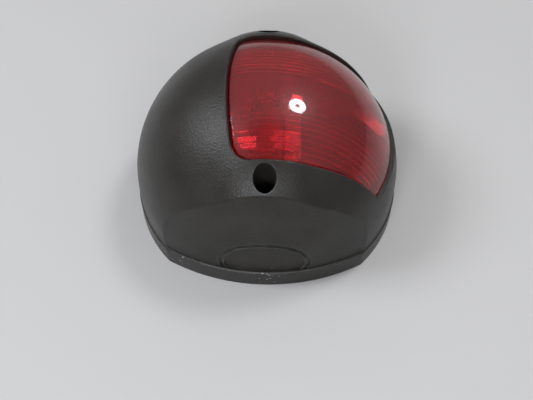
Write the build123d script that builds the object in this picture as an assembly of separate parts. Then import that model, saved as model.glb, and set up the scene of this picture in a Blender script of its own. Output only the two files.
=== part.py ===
from build123d import *
import math
import os

# A bulkhead-mounted side light for a small boat, in millimetres.
# The origin is the centre of the flat back face, +Z points away from the bulkhead,
# and the tubular bulb lies along Y.  The lit sector runs about the bulb's axis from
# 22.5 degrees on the -X side of +Z, over the top, to +X.

# ---- sizes of the outside ----
dome_radius = 43.0            # outside of the domed cover
dome_centre_height = 13.3     # the dome's centre above the back face
cover_wall = 1.8
base_height = 7.0             # back face to the seam between base and cover
base_overhang = 0.4           # how far the base stands proud of the cover, all round
end_bow = 16.6                # how far each end wall falls back at the dome's widest place
end_lean = 6.2                # lean of the end walls, degrees from vertical
plan_corner_radius = 4.0
ridge_rounding = 1.4          # edge between the dome and an end wall
lip_rounding = 0.45           # outer edge of the window
seam_chamfer = 0.4

# ---- raised shoulder under each cover screw ----
shoulder_rise = 1.4           # above the plain dome
shoulder_offset = 2.0         # its centre, outboard of the screw
shoulder_spread = 24.0        # half-angle that it covers, in degrees

# ---- bulb: a 41 mm double-ended tube in a pair of open clips ----
bulb_length = 41.0
bulb_height = 25.3            # bulb axis above the back face
glass_radius = 5.5
glass_wall = 0.6
cap_radius = 4.25
cap_length = 8.0
cap_cone = 2.0                # length of the cap's tapered tip
cap_tip_radius = 1.6
cap_wall = 0.45
neck_length = 2.5             # glass inside each cap
glass_shoulder = 1.5          # length over which the tube narrows to its neck
cap_bottom_gap = 0.3          # end of the glass to the closed end of its cap
filament_radius = 0.25
filament_half_length = 8.0
lead_radius = 0.3

# ---- lens and window ----
sector_behind = 22.5          # degrees past the mounting normal
window_corner_radius = 5.2
window_gap = 0.5              # lens end wall to the window's side, at the crown
window_lean = 8.0             # the window's sides lean out towards the crown, in degrees
lens_gap = 0.9                # inside of the cover to the lens
lens_sink = 1.1               # outside of the dome to the raised crown of the lens
crown_gap = 0.5               # side of the window to the raised crown
crown_rounding = 0.4          # edge of the raised crown
lens_wall = 2.0
lens_end_wall = 2.0
bulb_end_clearance = 1.9
lens_tab_x = 13.0             # centre of each foot tab outside a lens end wall
lens_tab_width = 8.0
lens_tab_reach = 2.4
lens_tab_height = 2.0
web_thickness = 1.6           # cover web that presses on a tab
web_gap = 0.4                 # from that web to the lens's end wall
gasket_height = 1.0
gasket_inset = 0.3
prism_pitch = 1.6             # width of one ring of the lens's inner prisms
prism_depth = 0.75            # depth of the outermost ring
clear_band = 3.3              # half-width of the plain band in the middle

# ---- cover screws ----
screw_shank_radius = 1.45
screw_point_radius = 0.4
screw_hole_clearance = 0.05   # radial, in the base and holder
screw_pass_clearance = 0.15   # radial, in the cover and clips
screw_head_radius = 2.8
screw_head_height = 2.1
counterbore_radius = 3.4
counterbore_wall = 1.2
window_to_counterbore = 1.2
end_wall_beyond_counterbore = 4.5
cross_half_length = 1.5       # cross recess in a screw's head
cross_half_width = 0.4
cross_depth = 1.3
head_rounding = 0.45          # share of a screw head's height
screw_seat_height = 8.5       # above the seam
screw_length = 13.0
screw_tip_length = 2.2
screw_floor = 1.0             # below the end of each blind screw hole
boss_radius = 4.2
boss_height = 4.0             # above the seam
tower_gap = 0.4               # between a cover tower and its base boss

# ---- inside of the base ----
floor_thickness = 3.0
platform_step = 1.0           # lens platform above the seam
spigot_gap = 0.4              # between the base's spigot and the cover
gasket_shelf_lip = 1.2        # how far the platform runs inside the lens
end_pocket_wall = 3.2
mount_hole_radius = 2.2
mount_hole_spacing = 54.0
grommet_place = (-26.5, -12.5)
grommet_bore_radius = 2.75
grommet_neck_radius = 3.95
grommet_flange_radius = 5.2
grommet_flange_height = 1.0
grommet_recess = 0.2
grommet_clearance = 0.05
grommet_flange_clearance = 0.3

# ---- bulb holder, clips and terminals ----
holder_foot_height = 2.5
holder_left = -17.5
holder_right = 10.5
holder_end_gap = 0.6
tower_left = -7.0
tower_gap_to_glass = 0.4
tower_end_step = 0.8          # how far the holder's foot runs on past a tower
tower_rounding = 0.6
shelf_height = 1.9
strip_thickness = 0.5
clip_width = 4.6
clip_start = 0.9              # from the inner end of a cap
clip_clearance = 0.05
clip_arm = 2.2                # straight part above the bulb's axis
clip_lip = 1.6
clip_lip_angle = 32.0
strip_sink = 0.3              # how far the saddle is formed into the strip
strip_margin = 0.4            # strip beyond a rivet's head or a washer
rivet_x = 7.2
rivet_radius = 0.95
rivet_depth = 3.8
rivet_head_radius = 1.7
rivet_head_height = 0.8
rivet_clearance = 0.05
terminal_x = -12.2
terminal_washer_size = 6.0
terminal_washer_height = 0.8
terminal_head_radius = 2.6
terminal_head_height = 1.9
terminal_head_chamfer = 0.3
terminal_length = 5.0
holder_screw_places = (-13.0, 6.5)
holder_screw_length = 7.0
slot_width = 0.8
slot_depth = 1.0

# ---- plain oval panel on one end wall ----
panel_half_width = 14.4
panel_half_height = 9.9
panel_centre_height = 10.6
panel_depth = 0.4
panel_border = 1.2            # width of the groove round the panel
panel_line = 0.5              # width of the second groove, inside it

# ---- places that follow from the sizes above ----
end_plan_radius = (dome_radius**2 + end_bow**2) / (2 * end_bow)
lens_radius = dome_radius - cover_wall - lens_gap
lens_crown_radius = dome_radius - lens_sink
lens_inner_radius = lens_radius - lens_wall
bulb_half = bulb_length / 2
lens_inner_half = bulb_half + bulb_end_clearance
lens_half = lens_inner_half + lens_end_wall
window_half = lens_half + window_gap
screw_y = window_half + window_to_counterbore + counterbore_radius
cover_reach = screw_y + counterbore_radius + end_wall_beyond_counterbore
platform_top = base_height + platform_step
lens_bottom = platform_top + gasket_height
tab_top = lens_bottom + lens_tab_height
seat_height = base_height + screw_seat_height
boss_top = base_height + boss_height
block = 3 * dome_radius       # larger than the light, for trimming
shoulder_angle = math.degrees(math.asin((screw_y + shoulder_offset) / dome_radius))
crown_height = dome_centre_height + math.sqrt(dome_radius**2 - window_half**2)
well_radius = lens_inner_radius - gasket_shelf_lip
well_half = lens_inner_half - gasket_shelf_lip
tower_inner = bulb_half - cap_length + tower_gap_to_glass
holder_end = well_half - holder_end_gap
tower_outer = holder_end - tower_end_step
foot_top = platform_top + holder_foot_height
saddle_outer = cap_radius + clip_clearance + strip_thickness
strip_top = bulb_height - saddle_outer + strip_sink
strip_bottom = strip_top - strip_thickness
shelf_top = foot_top + shelf_height
clip_centre = bulb_half - cap_length + clip_start + clip_width / 2


def box_between(low, high):
    """A box from its lowest and highest corners."""
    size = [b - a for a, b in zip(low, high)]
    centre = [(a + b) / 2 for a, b in zip(low, high)]
    return Pos(*centre) * Box(*size)


def post(x, y, low, high, radius):
    """An upright cylinder."""
    return Pos(x, y, (low + high) / 2) * Cylinder(radius, high - low)


def band(radius, half):
    """A disc cut off by two straight lines at y = half and y = -half."""
    return Circle(radius) & Rectangle(block, 2 * half)


def layer(sketch, low, high):
    """A flat sketch made solid between two heights."""
    return Pos(0, 0, low) * extrude(sketch, high - low)


def end_trim(reach, height, arc):
    """The width kept between two curved ends, at one height."""
    back = arc - reach
    return Pos(0, 0, height) * (
        Rectangle(2.2 * dome_radius, block) & Pos(0, back) * Circle(arc) & Pos(0, -back) * Circle(arc)
    )


def between_end_walls(inset):
    """The space between the two leaning end walls, each moved in by inset."""
    rise = 2 * dome_radius
    top_reach = cover_reach - rise * math.tan(math.radians(end_lean)) - inset
    low = end_trim(cover_reach - inset, base_height, end_plan_radius - inset)
    high = end_trim(top_reach, base_height + rise, 6 * end_plan_radius)
    return loft([low, high], ruled=True)


def dome(ball):
    """A ball's upper half on an upright drum that starts at the seam."""
    radius = ball.bounding_box().max.X
    raised = Pos(0, 0, dome_centre_height) * ball
    upper = raised & box_between((-block, -block, dome_centre_height), (block, block, block))
    return upper + post(0, 0, base_height, dome_centre_height, radius)


def shouldered_ball():
    """A ball with two fuller round patches, one on each side, flush at their rims."""
    spread = math.radians(shoulder_spread)
    sine, cosine = math.sin(spread), math.cos(spread)
    # each patch is a cone tangent to the ball at its rim, topped by a cap tangent to the cone
    apex = dome_radius + shoulder_rise
    cap = (dome_radius - apex * cosine) / (1 - cosine)
    rim = (dome_radius * sine, dome_radius * cosine)
    joint = (cap * sine, apex - cap + cap * cosine)
    halfway = (cap * math.sin(spread / 2), apex - cap + cap * math.cos(spread / 2))
    foot = (0, -dome_radius)
    outline = ThreePointArc((0, apex), halfway, joint) + Line(joint, rim)
    outline = outline + ThreePointArc(rim, (dome_radius, 0), foot) + Line(foot, (0, apex))
    ball = revolve(Plane.XZ * make_face(outline), Axis.Z)
    return Rot(shoulder_angle, 0, 0) * ball + Rot(-shoulder_angle, 0, 0) * ball


def window_half_at(height):
    """Half the window's width at one height: its sides lean."""
    return window_half - (crown_height - height) * math.tan(math.radians(window_lean))


def window_space(gap):
    """The wedge of the lit sector, moved in by a gap, with leaning sides and rounded corners."""
    reach = 2 * dome_radius
    low, top = bulb_height + gap, bulb_height + reach
    sine, cosine = math.sin(math.radians(sector_behind)), math.cos(math.radians(sector_behind))
    start = (gap - gap * sine) / cosine
    behind = (gap - reach * sine) / cosine
    sector = Polyline((start, low), (behind, top), (reach, top), (reach, low), close=True)
    foot, head = window_half_at(low) - gap, window_half_at(top) - gap
    across = Polyline((-foot, low), (-head, top), (head, top), (foot, low), close=True)
    wedge = extrude(Plane.XZ * make_face(sector), block, both=True)
    wedge = wedge & extrude(Plane.YZ * make_face(across), block, both=True)
    slanted = [e for e in wedge.edges() if e.center().X < 0 and abs(e.center().Y) > foot / 2]
    slanted = [e for e in slanted if abs(e.tangent_at(0.5).Z) > 0.5]
    return fillet(slanted, window_corner_radius - gap)


def outer_shape():
    """The cover's outside as one solid: one half with its rounded ridge, and its mirror image."""
    body = dome(shouldered_ball()) & between_end_walls(0)
    walls = [f for f in body.faces() if f.normal_at().Y < -0.9]
    ridges = [e for f in walls for e in f.edges() if e.center().Z > base_height + 1]
    half = fillet(ridges, ridge_rounding) & box_between((-block, -block, 0), (block, 0, block))
    return half + mirror(half, Plane.XZ)


def make_cover():
    window = window_space(0)
    body = round_window_edges(outer_shape() - window, window, dome_radius, lip_rounding)
    hollow = dome(Sphere(dome_radius - cover_wall)) & between_end_walls(cover_wall)
    tower_bottom = boss_top + tower_gap
    for side in (1, -1):
        tower = post(0, side * screw_y, tower_bottom, block / 2, counterbore_radius + counterbore_wall)
        hollow = hollow - tower
        # upright webs hold the lens's foot tabs down on the gasket
        for x in (lens_tab_x, -lens_tab_x):
            low, high = sorted((side * (lens_half + web_gap), side * block))
            half = web_thickness / 2
            hollow = hollow - box_between((x - half, low, tab_top), (x + half, high, block))
    body = body - hollow
    for side in (1, -1):
        y = side * screw_y
        body = body - post(0, y, seat_height, block / 2, counterbore_radius)
        body = body - post(0, y, base_height, block / 2, screw_shank_radius + screw_pass_clearance)
    return body - panel_recess()


def round_window_edges(body, window, radius, rounding):
    """Round the edges where the window's upright sides meet a dome of the given radius."""
    skin = window.shells()[0]

    def is_lip(edge):
        places = [edge.position_at(t) for t in (0.1, 0.5, 0.9)]
        on_dome = all((p - Vector(0, 0, dome_centre_height)).length > radius - 0.1 for p in places)
        return on_dome and all(skin.distance_to(Vertex(*p)) < 0.01 for p in places)

    lips = [e for e in body.edges() if e.bounding_box().size.Z > 0.01 and is_lip(e)]
    return fillet(lips, rounding)


def panel_recess():
    """A shallow oval recess with a plain raised border line, on the -Y end wall."""
    face = Plane((0, -cover_reach - 5, panel_centre_height), x_dir=(1, 0, 0), z_dir=(0, 1, 0))
    skin = between_end_walls(0) - between_end_walls(panel_depth)
    oval = Ellipse(panel_half_width, panel_half_height)
    inner = Ellipse(panel_half_width - panel_border, panel_half_height - panel_border)
    line = Ellipse(panel_half_width - panel_border - panel_line, panel_half_height - panel_border - panel_line)
    return skin & extrude(face * (oval - (inner - line)), cover_reach)


def base_outline(inset):
    """The base's plan: a disc with two flatter ends and rounded corners."""
    reach = cover_reach + 2 * base_overhang - inset
    arc = end_plan_radius - inset
    back = arc - reach
    shape = Circle(dome_radius + base_overhang - inset)
    shape = shape & Pos(0, back) * Circle(arc) & Pos(0, -back) * Circle(arc)
    return fillet(shape.vertices(), plan_corner_radius)


def make_base_plate():
    plate = layer(base_outline(0), 0, base_height)
    plate = chamfer(plate.faces().sort_by(Axis.Z)[-1].edges(), seam_chamfer)
    spigot = band(dome_radius - cover_wall - spigot_gap, lens_half)
    plate = plate + layer(spigot, base_height, platform_top)
    pocket = base_outline(end_pocket_wall) - Rectangle(block, 2 * (lens_half + end_pocket_wall / 2))
    plate = plate - layer(pocket, floor_thickness, base_height)
    well = layer(band(well_radius, well_half), floor_thickness, platform_top)
    pad = box_between((holder_left, -well_half, floor_thickness), (holder_right, well_half, platform_top))
    plate = plate - (well - pad)
    for side in (1, -1):
        y = side * screw_y
        plate = plate + post(0, y, floor_thickness, boss_top, boss_radius)
    hole = screw_shank_radius + screw_hole_clearance
    for side in (1, -1):
        plate = plate - post(0, side * screw_y, screw_floor, boss_top, hole)
        plate = plate - post(side * mount_hole_spacing / 2, 0, 0, floor_thickness, mount_hole_radius)
    for x in holder_screw_places:
        plate = plate - post(x, 0, screw_floor, platform_top, hole)
    gx, gy = grommet_place
    plate = plate - post(gx, gy, 0, floor_thickness, grommet_neck_radius + grommet_clearance)
    recess = grommet_flange_radius + grommet_flange_clearance
    return plate - post(gx, gy, 0, grommet_recess + grommet_flange_height, recess)


def make_grommet():
    gx, gy = grommet_place
    neck_low = grommet_recess + grommet_flange_height
    top = floor_thickness + grommet_flange_height
    body = post(gx, gy, grommet_recess, neck_low, grommet_flange_radius)
    body = body + post(gx, gy, neck_low, floor_thickness, grommet_neck_radius)
    body = body + post(gx, gy, floor_thickness, top, grommet_flange_radius)
    body = fillet(body.edges().group_by(Axis.Z)[-1], grommet_flange_height / 3)
    return body - post(gx, gy, 0, top, grommet_bore_radius)


def prism_profile():
    """Half of the lens's section, from the axis out, with its stepped inner face."""
    def inner(y):
        return -math.sqrt(lens_inner_radius**2 - y**2)

    rings = int((lens_inner_half - clear_band) / prism_pitch)
    half = [(inner(clear_band), clear_band)]
    for i in range(rings):
        far = clear_band + (i + 1) * prism_pitch
        depth = prism_depth * far / lens_inner_half
        half += [(inner(far) + depth, far), (inner(far), far)]
    half += [(inner(lens_inner_half), lens_inner_half), (0, lens_inner_half)]
    points = [(x, -y) for x, y in reversed(half)] + half + [(0, lens_half)]
    rim = math.sqrt(lens_radius**2 - lens_half**2)
    outline = Polyline(*points, (-rim, lens_half))
    outline = outline + ThreePointArc((-rim, lens_half), (-lens_radius, 0), (-rim, -lens_half))
    outline = outline + Polyline((-rim, -lens_half), (0, -lens_half), (0, -lens_inner_half))
    return make_face(outline)


def make_lens():
    axis = Axis((0, 0, dome_centre_height), (0, 1, 0))
    crown = revolve(Pos(0, 0, dome_centre_height) * prism_profile(), axis, revolution_arc=180)
    inside = band(lens_inner_radius, lens_inner_half)
    body = crown + layer(band(lens_radius, lens_half) - inside, lens_bottom, dome_centre_height)
    # the part that shows in the window stands out almost to the outside of the dome
    window = window_space(crown_gap)
    raised = dome(Sphere(lens_crown_radius)) & window
    raised = round_window_edges(raised, window, lens_crown_radius, crown_rounding)
    body = body + (raised - dome(Sphere(lens_radius - lens_wall / 2)))
    for x in (lens_tab_x, -lens_tab_x):
        left, right = x - lens_tab_width / 2, x + lens_tab_width / 2
        for side in (1, -1):
            low, high = sorted((side * lens_inner_half, side * (lens_half + lens_tab_reach)))
            body = body + box_between((left, low, lens_bottom), (right, high, tab_top))
    return body


def make_lens_gasket():
    outer = band(lens_radius - gasket_inset, lens_half - gasket_inset)
    inner = band(lens_inner_radius - gasket_inset, lens_inner_half - gasket_inset)
    return layer(outer - inner, platform_top, lens_bottom)


def make_screw(seat, length, head_radius, head_height, tip):
    """A screw that stands on the origin's axis, with its head's underside at seat."""
    head = post(0, 0, seat, seat + head_height, head_radius)
    head = fillet(head.edges().group_by(Axis.Z)[-1], head_height * head_rounding)
    point = Pos(0, 0, seat - length + tip / 2) * Cone(screw_point_radius, screw_shank_radius, tip)
    return head + post(0, 0, seat - length + tip, seat, screw_shank_radius) + point


def cross_recess(top):
    """A cross recess that opens at the given height."""
    low = (-cross_half_length, -cross_half_width, top - cross_depth)
    arm = box_between(low, (cross_half_length, cross_half_width, top + cross_depth))
    return arm + Rot(0, 0, 90) * arm


def make_cover_screw(side):
    screw = make_screw(seat_height, screw_length, screw_head_radius, screw_head_height, screw_tip_length)
    return Pos(0, side * screw_y, 0) * (screw - cross_recess(seat_height + screw_head_height))


def make_holder_screws():
    screw = make_screw(foot_top, holder_screw_length, screw_head_radius, screw_head_height, screw_tip_length)
    screw = screw - cross_recess(foot_top + screw_head_height)
    return [Pos(x, 0, 0) * screw for x in holder_screw_places]


def make_bulb_holder():
    body = box_between((holder_left, -holder_end, platform_top), (holder_right, holder_end, foot_top))
    for side in (1, -1):
        low, high = sorted((side * tower_inner, side * tower_outer))
        tower = box_between((tower_left, low, foot_top), (holder_right, high, strip_bottom))
        shelf = box_between((holder_left, low, foot_top), (tower_left, high, shelf_top))
        body = body + tower + shelf
    body = fillet(body.edges().filter_by(Axis.Z), tower_rounding)
    for side in (1, -1):
        y = side * clip_centre
        body = body - post(rivet_x, y, strip_bottom - rivet_depth, strip_bottom, rivet_radius + rivet_clearance)
        low = terminal_seat() - terminal_length
        body = body - post(terminal_x, y, low, shelf_top, screw_shank_radius + screw_hole_clearance)
    for x in holder_screw_places:
        body = body - post(x, 0, platform_top, foot_top, screw_shank_radius + screw_pass_clearance)
    return body


def terminal_seat():
    """Height of the underside of a terminal screw's head."""
    return shelf_top + strip_thickness + terminal_washer_height


def make_contact_clip(side):
    """One bent strip: terminal tab, riser, flat, and an open saddle for the bulb's cap."""
    inner = cap_radius + clip_clearance
    ring = Circle(saddle_outer) - Circle(inner)
    saddle = ring & Pos(0, -block / 2) * Rectangle(block, block)
    for hand in (1, -1):
        arm = Pos(hand * (inner + strip_thickness / 2), clip_arm / 2) * Rectangle(strip_thickness, clip_arm)
        lip = Pos(hand * strip_thickness / 2, clip_lip / 2) * Rectangle(strip_thickness, clip_lip)
        saddle = saddle + arm + Pos(hand * inner, clip_arm) * Rot(0, 0, -hand * clip_lip_angle) * lip
    half = clip_width / 2
    clip = Pos(0, 0, bulb_height) * extrude(Plane.XZ * saddle, half, both=True)
    right = rivet_x + rivet_head_radius + strip_margin
    riser_left = tower_left - strip_thickness
    tab_left = terminal_x - terminal_washer_size / 2 - strip_margin
    clip = clip + box_between((riser_left, -half, strip_bottom), (right, half, strip_top))
    clip = clip + box_between((riser_left, -half, shelf_top), (tower_left, half, strip_top))
    clip = clip + box_between((tab_left, -half, shelf_top), (tower_left, half, shelf_top + strip_thickness))
    # the saddle's inside stays round where the flat strip meets it
    clip = clip - Pos(0, 0, bulb_height) * extrude(Plane.XZ * Circle(inner), half + 1, both=True)
    clip = clip - post(rivet_x, 0, strip_bottom, strip_top, rivet_radius + rivet_clearance)
    hole = screw_shank_radius + screw_pass_clearance
    clip = clip - post(terminal_x, 0, shelf_top, shelf_top + strip_thickness, hole)
    return Pos(0, side * clip_centre, 0) * clip


def make_clip_rivet(side):
    shank = post(0, 0, strip_bottom - rivet_depth, strip_top, rivet_radius)
    head = post(0, 0, strip_top, strip_top + rivet_head_height, rivet_head_radius)
    head = fillet(head.edges().group_by(Axis.Z)[-1], rivet_head_height * 0.7)
    return Pos(rivet_x, side * clip_centre, 0) * (shank + head)


def make_terminal_washer(side):
    low = shelf_top + strip_thickness
    half = terminal_washer_size / 2
    plate = box_between((-half, -half, low), (half, half, low + terminal_washer_height))
    plate = plate - post(0, 0, low, low + terminal_washer_height, screw_shank_radius + screw_pass_clearance)
    return Pos(terminal_x, side * clip_centre, 0) * plate


def make_terminal_screw(side):
    seat = terminal_seat()
    head = post(0, 0, seat, seat + terminal_head_height, terminal_head_radius)
    head = chamfer(head.edges().group_by(Axis.Z)[-1], terminal_head_chamfer)
    top = seat + terminal_head_height
    low = (-terminal_head_radius, -slot_width / 2, top - slot_depth)
    slot = box_between(low, (terminal_head_radius, slot_width / 2, top))
    body = head + post(0, 0, seat - terminal_length, seat, screw_shank_radius) - slot
    return Pos(terminal_x, side * clip_centre, 0) * body


def along_bulb(profile):
    """Turn a profile drawn as (radius, place along the bulb) about the bulb's axis."""
    solid = revolve(Plane.XY * profile, Axis.Y)
    return Pos(0, 0, bulb_height) * solid


def tube_outline(body_radius, neck_radius):
    """One side of the glass: a tube that narrows to a neck at each end."""
    shoulder = bulb_half - cap_length
    straight = shoulder - glass_shoulder
    end = shoulder + neck_length
    return make_face(Polyline(
        (0, -end), (neck_radius, -end), (neck_radius, -shoulder), (body_radius, -straight),
        (body_radius, straight), (neck_radius, shoulder), (neck_radius, end), (0, end), close=True,
    ))


def make_bulb_glass():
    neck = cap_radius - cap_wall - clip_clearance
    outside = tube_outline(glass_radius, neck)
    return along_bulb(outside - tube_outline(glass_radius - glass_wall, neck - glass_wall))


def make_bulb_cap(side):
    start = bulb_half - cap_length
    shoulder = bulb_half - cap_cone
    inside = cap_radius - cap_wall
    cup_end = start + neck_length + cap_bottom_gap
    outline = Polyline((inside, start), (cap_radius, start), (cap_radius, shoulder), (cap_tip_radius, bulb_half),
                       (0, bulb_half), (0, cup_end), (inside, cup_end), close=True)
    profile = make_face(outline)
    if side < 0:
        profile = mirror(profile, Plane.XZ)
    return along_bulb(profile)


def make_bulb_filament():
    rod = extrude(Plane.XZ * Circle(filament_radius), filament_half_length, both=True)
    return Pos(0, 0, bulb_height) * rod


def make_bulb_leads():
    end = bulb_half - cap_length + neck_length
    leads = []
    for side in (1, -1):
        low, high = sorted((side * filament_half_length, side * end))
        rod = Pos(0, (low + high) / 2, bulb_height) * Rot(90, 0, 0) * Cylinder(lead_radius, high - low)
        leads.append(rod)
    return leads


def write(name, *solids):
    """Write one named piece, or a group of equal ones, to its own file."""
    if len(solids) == 1:
        export_step(solids[0], f"parts/{name}.step")
    else:
        export_step(Compound(children=list(solids)), f"parts/{name}.step")


os.makedirs("parts", exist_ok=True)
write("base_plate", make_base_plate())
write("cable_grommet", make_grommet())
write("lens_gasket", make_lens_gasket())
write("cover", make_cover())
write("lens", make_lens())
write("bulb_holder", make_bulb_holder())
write("holder_screws", *make_holder_screws())
write("bulb_glass", make_bulb_glass())
write("bulb_filament", make_bulb_filament())
write("bulb_lead_wires", *make_bulb_leads())
for end_name, end_side in (("front", -1), ("rear", 1)):
    write(f"{end_name}_cover_screw", make_cover_screw(end_side))
    write(f"{end_name}_contact_clip", make_contact_clip(end_side))
    write(f"{end_name}_clip_rivet", make_clip_rivet(end_side))
    write(f"{end_name}_terminal_screw", make_terminal_screw(end_side))
    write(f"{end_name}_terminal_washer", make_terminal_washer(end_side))
    write(f"bulb_{end_name}_cap", make_bulb_cap(end_side))
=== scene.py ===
import math

import bpy
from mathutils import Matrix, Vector


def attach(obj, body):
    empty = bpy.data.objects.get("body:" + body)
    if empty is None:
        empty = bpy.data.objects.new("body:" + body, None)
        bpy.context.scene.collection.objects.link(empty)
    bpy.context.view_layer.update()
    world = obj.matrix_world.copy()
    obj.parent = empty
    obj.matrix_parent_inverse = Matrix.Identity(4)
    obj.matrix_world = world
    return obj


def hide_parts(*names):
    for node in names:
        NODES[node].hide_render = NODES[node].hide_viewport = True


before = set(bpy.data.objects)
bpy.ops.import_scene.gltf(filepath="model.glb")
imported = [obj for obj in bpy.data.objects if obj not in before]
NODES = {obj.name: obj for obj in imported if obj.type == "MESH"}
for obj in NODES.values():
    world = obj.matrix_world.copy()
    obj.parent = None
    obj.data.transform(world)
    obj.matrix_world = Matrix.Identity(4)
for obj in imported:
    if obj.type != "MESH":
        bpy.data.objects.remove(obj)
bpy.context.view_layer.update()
MM = 0.001
SEAM_HEIGHT = 7 * MM


# ---- material helpers ----
def new_material(name, **values):
    """A material with one principled shader, whose plain values are set by socket name."""
    material = bpy.data.materials.new(name)
    material.use_nodes = True
    tree = material.node_tree
    tree.nodes.clear()
    shader = tree.nodes.new("ShaderNodeBsdfPrincipled")
    output = tree.nodes.new("ShaderNodeOutputMaterial")
    tree.links.new(shader.outputs["BSDF"], output.inputs["Surface"])
    for socket, value in values.items():
        shader.inputs[socket.replace("_", " ")].default_value = value
    return material, tree, shader


def add(tree, kind, links=None, **values):
    """A node with its plain values set by socket name, and its links given as {socket: source}."""
    node = tree.nodes.new(kind)
    for name, value in values.items():
        node.inputs[name.replace("_", " ")].default_value = value
    for name, source in (links or {}).items():
        tree.links.new(source, node.inputs[name])
    return node


def place_of(tree, scale=(1, 1, 1)):
    """Object coordinates in metres, stretched by scale."""
    coordinates = tree.nodes.new("ShaderNodeTexCoord").outputs["Object"]
    mapping = add(tree, "ShaderNodeMapping", {"Vector": coordinates}, Scale=scale)
    return mapping.outputs["Vector"]


def noise(tree, size, detail=2.0, scale=(1, 1, 1)):
    """Noise from 0 to 1 with features about size metres across."""
    node = add(tree, "ShaderNodeTexNoise", {"Vector": place_of(tree, scale)}, Scale=1 / size, Detail=detail)
    return node.outputs["Fac"]


def noise_between(tree, size, detail, low=0.0, high=1.0):
    """Noise whose usual range, 0.3 to 0.7, is stretched from low to high."""
    return remap(tree, noise(tree, size, detail), 0.3, 0.7, low, high)


def cells(tree, size):
    """Distance to the nearest cell centre, for a pebbled grain."""
    node = add(tree, "ShaderNodeTexVoronoi", {"Vector": place_of(tree)}, Scale=1 / size)
    return node.outputs["Distance"]


def remap(tree, value, low, high, to_low=0.0, to_high=1.0):
    """Part of a value's range stretched to another range, and held at its ends."""
    node = add(tree, "ShaderNodeMapRange", {"Value": value})
    for socket, number in (("From Min", low), ("From Max", high), ("To Min", to_low), ("To Max", to_high)):
        node.inputs[socket].default_value = number
    return node.outputs["Result"]


def math_node(tree, operation, first, second):
    """A sum, product or other result of two values, each a socket or a number."""
    node = tree.nodes.new("ShaderNodeMath")
    node.operation = operation
    for socket, value in zip(node.inputs, (first, second)):
        if isinstance(value, (int, float)):
            socket.default_value = value
        else:
            tree.links.new(value, socket)
    return node.outputs["Value"]


def blend_colours(tree, factor, first, second):
    """A colour between two, each a colour or a socket."""
    node = tree.nodes.new("ShaderNodeMix")
    node.data_type = "RGBA"
    tree.links.new(factor, node.inputs["Factor"])
    for socket, value in ((node.inputs[6], first), (node.inputs[7], second)):
        if isinstance(value, tuple):
            socket.default_value = (*value, 1)
        else:
            tree.links.new(value, socket)
    return node.outputs[2]


def bump(tree, height, strength, depth, normal=None):
    """A normal roughened by a height, depth metres deep."""
    links = {"Height": height}
    if normal is not None:
        links["Normal"] = normal
    return add(tree, "ShaderNodeBump", links, Strength=strength, Distance=depth).outputs["Normal"]


def soft_edges(tree, radius):
    """A normal that rounds sharp edges over a small radius."""
    node = add(tree, "ShaderNodeBevel", Radius=radius)
    node.samples = 4
    return node.outputs["Normal"]


def edge_mask(tree, radius):
    """1 on outer edges and 0 on open faces, broken up by noise."""
    rounded = soft_edges(tree, radius)
    flat = tree.nodes.new("ShaderNodeNewGeometry").outputs["Normal"]
    node = tree.nodes.new("ShaderNodeVectorMath")
    node.operation = "DOT_PRODUCT"
    tree.links.new(rounded, node.inputs[0])
    tree.links.new(flat, node.inputs[1])
    edges = remap(tree, node.outputs["Value"], 0.99, 0.86)
    return math_node(tree, "MULTIPLY", edges, remap(tree, noise(tree, 2.5 * MM, 4.0), 0.35, 0.7))


def finish(tree, shader, colour=None, roughness=None, normal=None):
    """Link what was worked out to the shader's own sockets."""
    for socket, source in (("Base Color", colour), ("Roughness", roughness), ("Normal", normal)):
        if source is not None:
            tree.links.new(source, shader.inputs[socket])


# ---- materials ----
def housing_plastic():
    """Black moulded plastic with a fine leathery grain, worn a little at its edges."""
    material, tree, shader = new_material(
        "black_plastic", IOR=1.5, Specular_IOR_Level=0.36, Sheen_Weight=0.02, Sheen_Roughness=0.4
    )
    shader.inputs["Sheen Tint"].default_value = (0.75, 0.8, 1.0, 1)
    mottle = noise_between(tree, 9 * MM, 4.0)
    colour = blend_colours(tree, mottle, (0.0118, 0.0102, 0.0080), (0.0182, 0.0164, 0.0138))
    worn = edge_mask(tree, 0.9 * MM)
    colour = blend_colours(tree, math_node(tree, "MULTIPLY", worn, 0.5), colour, (0.12, 0.12, 0.125))
    # pale chips and dust in patches, from the seam down
    place = add(tree, "ShaderNodeSeparateXYZ", {"Vector": place_of(tree)})
    low = remap(tree, place.outputs["Z"], SEAM_HEIGHT + 2 * MM, SEAM_HEIGHT - 0.5 * MM)
    patches = remap(tree, noise(tree, 11 * MM, 2.0), 0.6, 0.66)
    chips = remap(tree, cells(tree, 1.6 * MM), 0.2, 0.12)
    dust = math_node(tree, "MULTIPLY", math_node(tree, "MULTIPLY", low, patches), chips)
    colour = blend_colours(tree, dust, colour, (0.30, 0.30, 0.29))
    gloss = noise_between(tree, 14 * MM, 5.0, 0.32, 0.42)
    grain = math_node(tree, "ADD", cells(tree, 0.55 * MM), noise(tree, 0.22 * MM, 3.0))
    normal = bump(tree, grain, 0.75, 0.08 * MM, soft_edges(tree, 0.25 * MM))
    finish(tree, shader, colour, gloss, normal)
    return material


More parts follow.
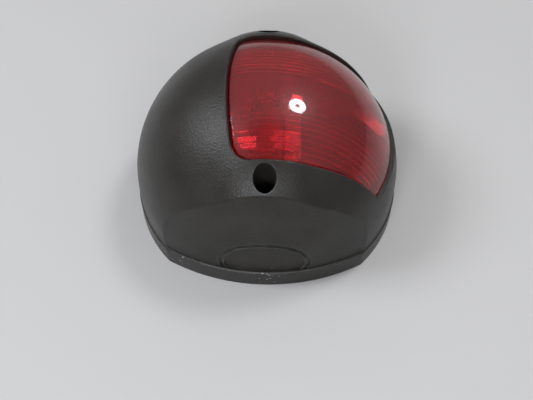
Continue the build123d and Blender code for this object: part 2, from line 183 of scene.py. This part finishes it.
def red_lens():
    """Clear red plastic, polished, with a hazy film and hairline scratches outside."""
    material, tree, shader = new_material(
        "red_lens", Transmission_Weight=0.925, IOR=1.49, Coat_Weight=0.32, Coat_Roughness=0.34, Coat_IOR=1.5
    )
    depth = noise_between(tree, 16 * MM, 2.0)
    colour = blend_colours(tree, depth, (0.96, 0.018, 0.032), (0.99, 0.040, 0.060))
    film = remap(tree, noise(tree, 7 * MM, 6.0), 0.35, 0.75, 0.015, 0.07)
    hairlines = noise(tree, 0.25 * MM, 2.0, (1, 0.04, 0.3))
    normal = bump(tree, remap(tree, hairlines, 0.62, 0.75), 0.05, 0.02 * MM, soft_edges(tree, 0.2 * MM))
    finish(tree, shader, colour, film, normal)
    return material


def rubber():
    """Soft black rubber, matt, with a dusty bloom."""
    material, tree, shader = new_material("black_rubber", IOR=1.5, Sheen_Weight=0.25, Sheen_Roughness=0.6)
    bloom = remap(tree, noise(tree, 3 * MM, 5.0), 0.4, 0.75)
    colour = blend_colours(tree, bloom, (0.018, 0.018, 0.018), (0.05, 0.05, 0.048))
    rough = noise_between(tree, 1 * MM, 3.0, 0.65, 0.85)
    normal = bump(tree, noise(tree, 0.2 * MM, 3.0), 0.4, 0.05 * MM, soft_edges(tree, 0.15 * MM))
    finish(tree, shader, colour, rough, normal)
    return material


def holder_plastic():
    """Light grey moulded plastic, satin, slightly yellowed in patches, with some grime."""
    material, tree, shader = new_material("holder_plastic", IOR=1.5, Subsurface_Weight=0.05)
    shader.inputs["Subsurface Radius"].default_value = (0.8 * MM, 0.6 * MM, 0.5 * MM)
    shader.inputs["Subsurface Scale"].default_value = 1.0
    yellowing = remap(tree, noise(tree, 12 * MM, 3.0), 0.35, 0.7)
    colour = blend_colours(tree, yellowing, (0.62, 0.60, 0.56), (0.58, 0.53, 0.44))
    grime = math_node(tree, "MULTIPLY", remap(tree, noise(tree, 2 * MM, 5.0), 0.58, 0.75), 0.4)
    colour = blend_colours(tree, grime, colour, (0.22, 0.20, 0.17))
    rough = noise_between(tree, 4 * MM, 3.0, 0.32, 0.48)
    normal = bump(tree, noise(tree, 0.25 * MM, 2.0), 0.25, 0.03 * MM, soft_edges(tree, 0.3 * MM))
    finish(tree, shader, colour, rough, normal)
    return material


def metal(name, bright, dull, roughness, spread, brushed=(1, 1, 1)):
    """Bare metal with tarnish in patches, fine brushing and softened edges."""
    material, tree, shader = new_material(name, Metallic=1.0)
    tarnish = remap(tree, noise(tree, 1.6 * MM, 5.0), 0.42, 0.72)
    colour = blend_colours(tree, tarnish, bright, dull)
    rough = noise_between(tree, 0.9 * MM, 4.0, roughness, roughness + spread)
    lines = noise(tree, 0.12 * MM, 2.0, brushed)
    finish(tree, shader, colour, rough, bump(tree, lines, 0.25, 0.01 * MM, soft_edges(tree, 0.12 * MM)))
    return material


def clear_glass():
    """The bulb's thin clear tube, with faint drawing lines along it."""
    material, tree, shader = new_material("bulb_glass", Transmission_Weight=1.0, IOR=1.46)
    smoke = remap(tree, noise(tree, 4 * MM, 3.0), 0.45, 0.8)
    colour = blend_colours(tree, smoke, (0.97, 0.98, 0.98), (0.86, 0.85, 0.82))
    rough = remap(tree, noise(tree, 3 * MM, 3.0), 0.4, 0.8, 0.0, 0.05)
    normal = bump(tree, noise(tree, 0.5 * MM, 1.0, (1, 0.05, 1)), 0.1, 0.02 * MM)
    finish(tree, shader, colour, rough, normal)
    return material


BRASS = metal("clip_brass", (0.78, 0.60, 0.30), (0.45, 0.31, 0.15), 0.22, 0.22, (1, 0.08, 1))
STAMPED = metal("washer_brass", (0.74, 0.57, 0.31), (0.40, 0.28, 0.14), 0.25, 0.25)
STAINLESS = metal("stainless", (0.62, 0.61, 0.60), (0.38, 0.37, 0.36), 0.25, 0.20)
NICKEL = metal("nickel_cap", (0.72, 0.69, 0.62), (0.48, 0.44, 0.37), 0.18, 0.22, (1, 0.1, 1))
TUNGSTEN = metal("tungsten", (0.34, 0.33, 0.34), (0.20, 0.19, 0.20), 0.35, 0.20)
LEADS = metal("lead_wire", (0.55, 0.54, 0.52), (0.36, 0.34, 0.32), 0.28, 0.20)
GLASS = clear_glass()
RUBBER = rubber()
HOLDER = holder_plastic()
LENS = red_lens()
HOUSING = housing_plastic()

# the first entry whose text is in a node's name gives its material
FINISHES = (
    ("cover_screw", STAINLESS), ("holder_screws", STAINLESS), ("terminal", STAMPED), ("clip", BRASS),
    ("_cap", NICKEL), ("lead_wires", LEADS), ("filament", TUNGSTEN), ("bulb_glass", GLASS),
    ("gasket", RUBBER), ("grommet", RUBBER), ("bulb_holder", HOLDER), ("lens", LENS),
    ("cover", HOUSING), ("base_plate", HOUSING),
)
for name, node in NODES.items():
    node.data.materials.clear()
    node.data.materials.append(next(material for text, material in FINISHES if text in name))


# ---- geometry helpers ----
def mesh_piece(name, points, faces, material):
    """A mesh object with one material, linked into the scene."""
    mesh = bpy.data.meshes.new(name)
    mesh.from_pydata(points, [], faces)
    mesh.materials.append(material)
    piece = bpy.data.objects.new(name, mesh)
    bpy.context.scene.collection.objects.link(piece)
    return piece


def on_circle(radius, share):
    """Both coordinates of a point this share of a turn round a circle."""
    turn = 2 * math.pi * share
    return radius * math.cos(turn), radius * math.sin(turn)


def strip_faces(row, after, count):
    """The faces between two closed rows of count points, which start at these indices."""
    return [(row + k, row + (k + 1) % count, after + (k + 1) % count, after + k) for k in range(count)]


def box_of(node):
    """Lowest and highest corner of a CAD node."""
    corners = [node.matrix_world @ Vector(corner) for corner in node.bound_box]
    lowest = Vector([min(values) for values in zip(*corners)])
    highest = Vector([max(values) for values in zip(*corners)])
    return lowest, highest


# ---- filament: a coil of fine wire in the place of the CAD rod ----
COIL_WIRE_RADIUS = 0.045 * MM
COIL_WIRE_SIDES = 6
COIL_GAP_TO_ROD_SURFACE = 0.005 * MM
COIL_END_GAP = 0.1 * MM
COIL_TURNS = 64
STEPS_PER_TURN = 14


def wire_along(name, points, radius, sides, material):
    """A thin round wire along a list of points, closed at both ends."""
    rings, faces = [], []
    for i, point in enumerate(points):
        along = (points[min(i + 1, len(points) - 1)] - points[max(i - 1, 0)]).normalized()
        across = along.cross(Vector((0, 1, 0))).normalized()
        other = along.cross(across)
        for k in range(sides):
            near, far = on_circle(radius, k / sides)
            rings.append(point + near * across + far * other)
    for i in range(len(points) - 1):
        faces += strip_faces(i * sides, (i + 1) * sides, sides)
    faces += [tuple(reversed(range(sides))), tuple(range(len(rings) - sides, len(rings)))]
    wire = mesh_piece(name, rings, faces, material)
    for face in wire.data.polygons:
        face.use_smooth = len(face.vertices) == 4
    return wire


def coil_points():
    """Points along a helix that fills the CAD rod's length, just inside its surface."""
    lowest, highest = box_of(NODES["bulb_filament"])
    middle, half = (lowest + highest) / 2, (highest - lowest) / 2
    radius = half.x - COIL_WIRE_RADIUS - COIL_GAP_TO_ROD_SURFACE
    half_length = half.y - COIL_END_GAP
    steps = COIL_TURNS * STEPS_PER_TURN
    points = []
    for step in range(steps + 1):
        x, z = on_circle(radius, step / STEPS_PER_TURN)
        y = (2 * step / steps - 1) * half_length
        points.append(middle + Vector((x, y, z)))
    return points


coil = wire_along("filament_coil", coil_points(), COIL_WIRE_RADIUS, COIL_WIRE_SIDES, TUNGSTEN)
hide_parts("bulb_filament")
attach(coil, "bulb")


# ---- stage: the floor ----
FLOOR_HALF_WIDTH = 3.0


def floor_material():
    """A pale, plain table top, faintly mottled."""
    material, tree, shader = new_material("floor", IOR=1.45)
    colour = blend_colours(tree, noise(tree, 0.15, 3.0), (0.435, 0.428, 0.423), (0.460, 0.453, 0.449))
    finish(tree, shader, colour, noise_between(tree, 0.03, 3.0, 0.52, 0.60))
    return material


def make_floor():
    sides = ((-1, -1), (1, -1), (1, 1), (-1, 1))
    corners = [(x * FLOOR_HALF_WIDTH, y * FLOOR_HALF_WIDTH, 0) for x, y in sides]
    mesh_piece("floor", corners, [(0, 1, 2, 3)], floor_material())


make_floor()


# ---- stage: lamps and sky ----
LAMP_SIDES = 48
COOL_WHITE = (0.96, 0.98, 1.0)
DAYLIGHT = (0.92, 0.95, 1.0)
DARK_MIDDLE = 0.01            # radius of the hole in a lamp's centre
# name, direction from the object, distance, inner and outer radius, brightness, colour
LAMPS = (
    ("ceiling_lamp", (0.38, 0.29, 0.88), 1.25, 0.035, 0.14, 28.0, COOL_WHITE),
    ("left_window", (-0.66, 0.0, 0.75), 1.1, DARK_MIDDLE, 0.20, 17.0, DAYLIGHT),
    ("front_window", (-0.26, -0.81, 0.51), 1.1, DARK_MIDDLE, 0.17, 19.0, DAYLIGHT),
    ("right_window", (0.22, -0.78, 0.56), 1.1, DARK_MIDDLE, 0.20, 6.0, DAYLIGHT),
)
SKY_BRIGHTNESS = 0.47
SKY_LOW = (0.56, 0.545, 0.53)
SKY_OVERHEAD = (1.08, 1.075, 1.07)
ROOM_IN_FRONT = (0.20, 0.19, 0.18)
VIEWER = (0.30, 0.29, 0.28)
VIEWER_DIRECTION = (0.02, -0.32, 0.93)


def glow_material(name, strength, colour):
    """A plain light source."""
    material = bpy.data.materials.new(name)
    material.use_nodes = True
    tree = material.node_tree
    tree.nodes.clear()
    glow = add(tree, "ShaderNodeEmission", Strength=strength, Color=(*colour, 1))
    add(tree, "ShaderNodeOutputMaterial", {"Surface": glow.outputs["Emission"]})
    return material


def round_lamp(name, direction, distance, inner, outer, strength, colour):
    """A flat ring that glows, facing the object."""
    points = []
    for radius in (inner, outer):
        points += [(*on_circle(radius, i / LAMP_SIDES), 0) for i in range(LAMP_SIDES)]
    faces = strip_faces(0, LAMP_SIDES, LAMP_SIDES)
    lamp = mesh_piece(name, points, faces, glow_material(name, strength, colour))
    aim = Vector(direction).normalized()
    lamp.location = aim * distance
    lamp.rotation_euler = aim.to_track_quat("Z", "Y").to_euler()


def make_sky():
    """Soft light, brightest overhead, with the darker room low in front and the viewer above it."""
    world = bpy.data.worlds.new("studio")
    bpy.context.scene.world = world
    world.use_nodes = True
    sky = world.node_tree
    direction = sky.nodes.new("ShaderNodeTexCoord").outputs["Generated"]
    split = add(sky, "ShaderNodeSeparateXYZ", {"Vector": direction})
    overhead = remap(sky, split.outputs["Z"], 0.15, 0.75)
    colour = blend_colours(sky, overhead, SKY_LOW, SKY_OVERHEAD)
    forward = remap(sky, split.outputs["Y"], -0.1, -0.7)
    low = remap(sky, split.outputs["Z"], 0.32, 0.08)
    colour = blend_colours(sky, math_node(sky, "MULTIPLY", forward, low), colour, ROOM_IN_FRONT)
    towards_viewer = sky.nodes.new("ShaderNodeVectorMath")
    towards_viewer.operation = "DOT_PRODUCT"
    sky.links.new(direction, towards_viewer.inputs[0])
    towards_viewer.inputs[1].default_value = Vector(VIEWER_DIRECTION).normalized()
    colour = blend_colours(sky, remap(sky, towards_viewer.outputs["Value"], 0.90, 0.97), colour, VIEWER)
    background = sky.nodes["Background"]
    background.inputs["Strength"].default_value = SKY_BRIGHTNESS
    sky.links.new(colour, background.inputs["Color"])


for lamp in LAMPS:
    round_lamp(*lamp)
make_sky()


# ---- camera ----
CAMERA_PLACE = (0.0036, -0.1656, 0.2295)
CAMERA_TILT = 35.0            # degrees from straight down
CAMERA_TURN = 1.3             # degrees about the vertical
SENSOR_WIDTH = 36.0           # millimetres, as is the focal length
FOCAL_LENGTH = 54.75
NEAREST_SEEN = 0.01


def make_camera():
    data = bpy.data.cameras.new("camera")
    data.sensor_width = SENSOR_WIDTH
    data.lens = FOCAL_LENGTH
    data.clip_start = NEAREST_SEEN
    camera = bpy.data.objects.new("camera", data)
    camera.location = CAMERA_PLACE
    camera.rotation_euler = (math.radians(CAMERA_TILT), 0, math.radians(CAMERA_TURN))
    bpy.context.scene.collection.objects.link(camera)
    bpy.context.scene.camera = camera


make_camera()
bpy.context.scene.view_settings.view_transform = "Standard"
